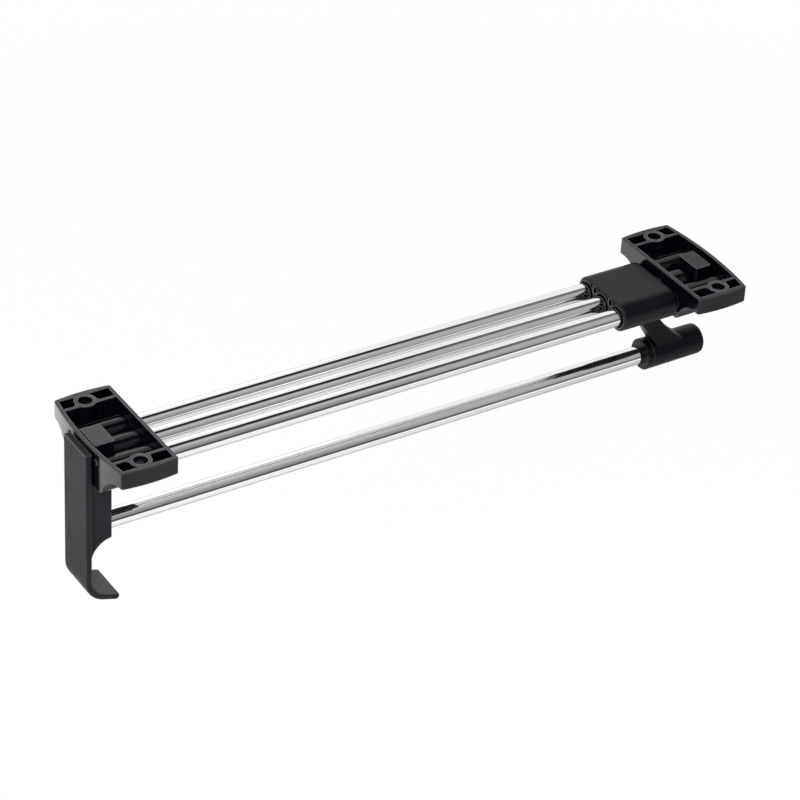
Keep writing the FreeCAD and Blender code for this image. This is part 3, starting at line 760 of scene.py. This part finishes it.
@dataclass(frozen=True)
class Studio:
    """A white studio: a pale floor, a surround with its darker bands, and soft lamps."""

    # The floor's size and place in metres, and its paint
    floor_drop: float = 0.30
    floor_radius: float = 2.6
    floor_corners: int = 96
    floor_paint: float = 0.85
    floor_glow: float = 0.925
    floor_shadow: float = 0.10
    white_reach: Reach = (0.9, 2.3)
    # The floor as polished surfaces mirror it, with a painted shadow under the object, and reaches in
    # metres from its middle
    # Painted shadow of the object on the floor, seen only in reflections
    painted_shadow_tone: float = 0.60
    painted_shadow_reach: float = 0.22
    sheen: float = 1.0
    near_edge: Reach = (-0.45, -0.68)
    near_tone: float = 1.07
    dark_edge: Reach = (-1.38, -1.52)
    dark_tone: float = 0.1
    rear_fall: Reach = (0.05, 0.60)
    rear_tone: float = 0.62
    # The surround's bands, each a turn about the tubes in degrees and the tone there
    shared_bands: Bands = (
        (-180.0, 0.09), (-170.0, 0.09), (-164.0, 1.0), (-30.0, 0.95), (10.0, 1.0), (34.0, 1.0),
        (46.0, 0.92), (59.0, 1.0), (74.0, 1.0), (80.5, 0.02), (103.0, 0.02),
    )
    front_greys: Bands = (
        (111.0, 0.42), (116.0, 0.51), (122.0, 0.56), (133.0, 0.475), (144.0, 0.375), (155.0, 0.30),
        (167.0, 0.29), (172.0, 0.16), (176.0, 0.09),
    )
    rear_greys: Bands = (
        (111.0, 0.43), (116.0, 0.44), (122.0, 0.45), (133.0, 0.46), (144.0, 0.46), (155.0, 0.42),
        (165.0, 0.38), (171.0, 0.27), (176.0, 0.09),
    )
    # How far a direction leans to the rear where the greys change over and the black band pales
    grey_shift: Reach = (0.42, 0.50)
    pale_reach: Reach = (0.42, 0.58)
    pale_end: float = 0.17
    lamps: tuple[Softbox, ...] = (
        Softbox(
            "key_lamp", place=(-0.8, -1.0, 0.7), width=0.8, length=0.8, radiance=9.0,
            aim=(0.1, 0.0, -0.05), mirrored=False),
        Softbox(
            "front_top_box", place=(0.5, 1.2, 0.9), width=0.55, length=0.55, radiance=0.85,
            aim=(0.0, 0.0, 0.0), mirrored=True),
        Softbox(
            "front_bounce_card", place=(-0.085, 0.59, -0.38), width=0.25, length=0.28, radiance=1.0,
            aim=(-0.085, 0.59, 1.0), mirrored=True),
        Softbox(
            "side_bounce_card", place=(-0.36, 0.40, -0.38), width=0.14, length=0.20, radiance=1.0,
            aim=(-0.36, 0.40, 1.0), mirrored=True),
    )

    def band_ramp(self, wiring: Wiring, share: bpy.types.NodeSocket, greys: Bands) -> bpy.types.NodeSocket:
        """The tones of the surround round the tubes, for one end.

        Args:
            wiring: the surround.
            share: the turn about the tubes, as a share of a whole one.
            greys: the bands on the near side, above the level.

        Returns:
            The tone's socket.
        """
        ramp = wiring.node("ShaderNodeValToRGB")
        wiring.link(share, ramp.inputs["Fac"])
        stops = ramp.color_ramp.elements
        bands = self.shared_bands + greys
        while len(stops) < len(bands):
            stops.new(HALF_TURN / FULL_TURN)
        for stop, (angle, tone) in zip(stops, bands):
            stop.position = (angle + HALF_TURN) / FULL_TURN
            stop.color = grey(tone)
        return ramp.outputs["Color"]

    def surround(self) -> None:
        """Light the object from a surround whose bands run along the tubes."""
        world = bpy.data.worlds.new("studio_surround")
        bpy.context.scene.world = world
        world.use_nodes = True
        wiring = Wiring(world.node_tree)
        way = wiring.node("ShaderNodeSeparateXYZ")
        wiring.link(wiring.node("ShaderNodeTexCoord").outputs["Generated"], way.inputs["Vector"])
        turn = wiring.math("ARCTAN2", way.outputs["Z"], way.outputs["Y"])
        share = wiring.span(turn, (-math.pi, math.pi), (0.0, 1.0))
        front = self.band_ramp(wiring, share, self.front_greys)
        rear = self.band_ramp(wiring, share, self.rear_greys)
        shift = wiring.span(way.outputs["X"], self.grey_shift, (0.0, 1.0), smooth=True)
        paler = wiring.span(way.outputs["X"], self.pale_reach, (0.0, self.pale_end))
        light = wiring.node("ShaderNodeBackground")
        wiring.link(wiring.math("MAXIMUM", wiring.blend(shift, front, rear), paler), light.inputs["Color"])
        white = wiring.node("ShaderNodeBackground")
        white.inputs["Color"].default_value = grey(1.0)
        seen = wiring.node("ShaderNodeLightPath").outputs["Is Camera Ray"]
        shown = wiring.shaders(seen, light.outputs["Background"], white.outputs["Background"])
        wiring.link(shown, wiring.node("ShaderNodeOutputWorld").inputs["Surface"])

    def floor_sheen(self, wiring: Wiring) -> bpy.types.NodeSocket:
        """The floor as polished surfaces mirror it: a painted shadow under the object, and darker to its
        rear and far off.

        Args:
            wiring: the floor's material.

        Returns:
            The mirrored tone's socket.
        """
        place = wiring.node("ShaderNodeSeparateXYZ")
        wiring.link(wiring.node("ShaderNodeTexCoord").outputs["Object"], place.inputs["Vector"])
        aside = wiring.math("ABSOLUTE", place.outputs["Y"])
        # Painted shadow under the object, seen in polished surfaces
        painted_shadow = wiring.span(aside, (0.0, self.painted_shadow_reach), (self.painted_shadow_tone, self.sheen), smooth=True)
        rear = wiring.span(place.outputs["X"], self.rear_fall, (1.0, self.rear_tone), smooth=True)
        near = wiring.span(place.outputs["Y"], self.near_edge, (0.0, self.near_tone), smooth=True)
        edge = wiring.span(place.outputs["Y"], self.dark_edge, (1.0, self.dark_tone), smooth=True)
        lit = wiring.math("MAXIMUM", wiring.math("MULTIPLY", painted_shadow, rear), near)
        return wiring.math("MULTIPLY", lit, edge)

    def floor_material(self) -> bpy.types.Material:
        """The floor's paint: white to the camera apart from the object's shadow, clear from below.

        Returns:
            The material.
        """
        material = bpy.data.materials.new("pale_floor")
        material.use_nodes = True
        wiring = Wiring(material.node_tree)
        path = wiring.node("ShaderNodeLightPath")
        paint = wiring.node("ShaderNodeBsdfDiffuse")
        paint.inputs["Color"].default_value = grey(self.floor_paint)
        thin_paint = wiring.node("ShaderNodeBsdfDiffuse")
        thin_paint.inputs["Color"].default_value = grey(self.floor_shadow)
        glow = wiring.node("ShaderNodeEmission")
        reach = wiring.node("ShaderNodeVectorMath", operation="LENGTH")
        wiring.link(wiring.node("ShaderNodeTexCoord").outputs["Object"], reach.inputs["Vector"])
        white = wiring.span(reach.outputs["Value"], self.white_reach, (self.floor_glow, 1.0), smooth=True)
        wiring.link(white, glow.inputs["Strength"])
        plain = wiring.node("ShaderNodeAddShader")
        for place, part in enumerate((glow.outputs["Emission"], thin_paint.outputs["BSDF"])):
            wiring.link(part, plain.inputs[place])
        mirrored = wiring.node("ShaderNodeEmission")
        wiring.link(self.floor_sheen(wiring), mirrored.inputs["Strength"])
        polished = wiring.math(
            "MAXIMUM", path.outputs["Is Glossy Ray"], path.outputs["Is Transmission Ray"])
        lit = wiring.shaders(polished, paint.outputs["BSDF"], mirrored.outputs["Emission"])
        lit = wiring.shaders(path.outputs["Is Camera Ray"], lit, plain.outputs["Shader"])
        below = wiring.node("ShaderNodeNewGeometry").outputs["Backfacing"]
        clear = wiring.node("ShaderNodeBsdfTransparent")
        lit = wiring.shaders(below, lit, clear.outputs["BSDF"])
        wiring.link(lit, wiring.node("ShaderNodeOutputMaterial").inputs["Surface"])
        return material

    def floor(self) -> None:
        """Lay the pale floor."""
        low, high = CAD_BOX
        middle = (low + high) / 2
        bpy.ops.object.select_all(action="DESELECT")
        bpy.ops.mesh.primitive_circle_add(
            vertices=self.floor_corners, radius=self.floor_radius, fill_type="NGON",
            location=(middle.x, middle.y, low.z - self.floor_drop))
        floor = bpy.context.object
        floor.name = "studio_floor"
        floor.data.materials.append(self.floor_material())

    def build(self) -> None:
        """Set up the surround, the floor and the lamps."""
        self.surround()
        self.floor()
        for lamp in self.lamps:
            lamp.build()


@dataclass(frozen=True)
class PhotoCamera:
    """The camera at the photograph's place, with angles in degrees."""

    place: Point = (-0.5930, -1.1347, 0.8740)
    heading: float = 56.26
    pitch: float = 33.64
    roll: float = -3.41
    lens: float = 144.5

    def build(self) -> None:
        """Set up the scene's camera and the plain view transform."""
        heading, pitch, roll = (math.radians(angle) for angle in (self.heading, self.pitch, self.roll))
        flat = math.cos(pitch)
        ahead = Vector((math.cos(heading) * flat, math.sin(heading) * flat, -math.sin(pitch)))
        level = ahead.cross(Vector((0.0, 0.0, 1.0))).normalized()
        below = ahead.cross(level)
        right = math.cos(roll) * level + math.sin(roll) * below
        down = math.cos(roll) * below - math.sin(roll) * level
        turn = Matrix((right, -down, -ahead)).transposed().to_4x4()
        bpy.ops.object.camera_add()
        camera = bpy.context.object
        camera.name = "photo_camera"
        camera.matrix_world = Matrix.Translation(self.place) @ turn
        camera.data.lens = self.lens
        bpy.context.scene.camera = camera
        bpy.context.scene.view_settings.view_transform = "Standard"


def main() -> None:
    """Build the object, then the studio round it and the camera."""
    logging.basicConfig(level=logging.INFO, format="%(message)s")
    shop = PaintShop()
    for assembly in (GuideFrame(), Slider()):
        assembly.build(shop)
    Studio().build()
    PhotoCamera().build()


if __name__ == "__main__":
    main()
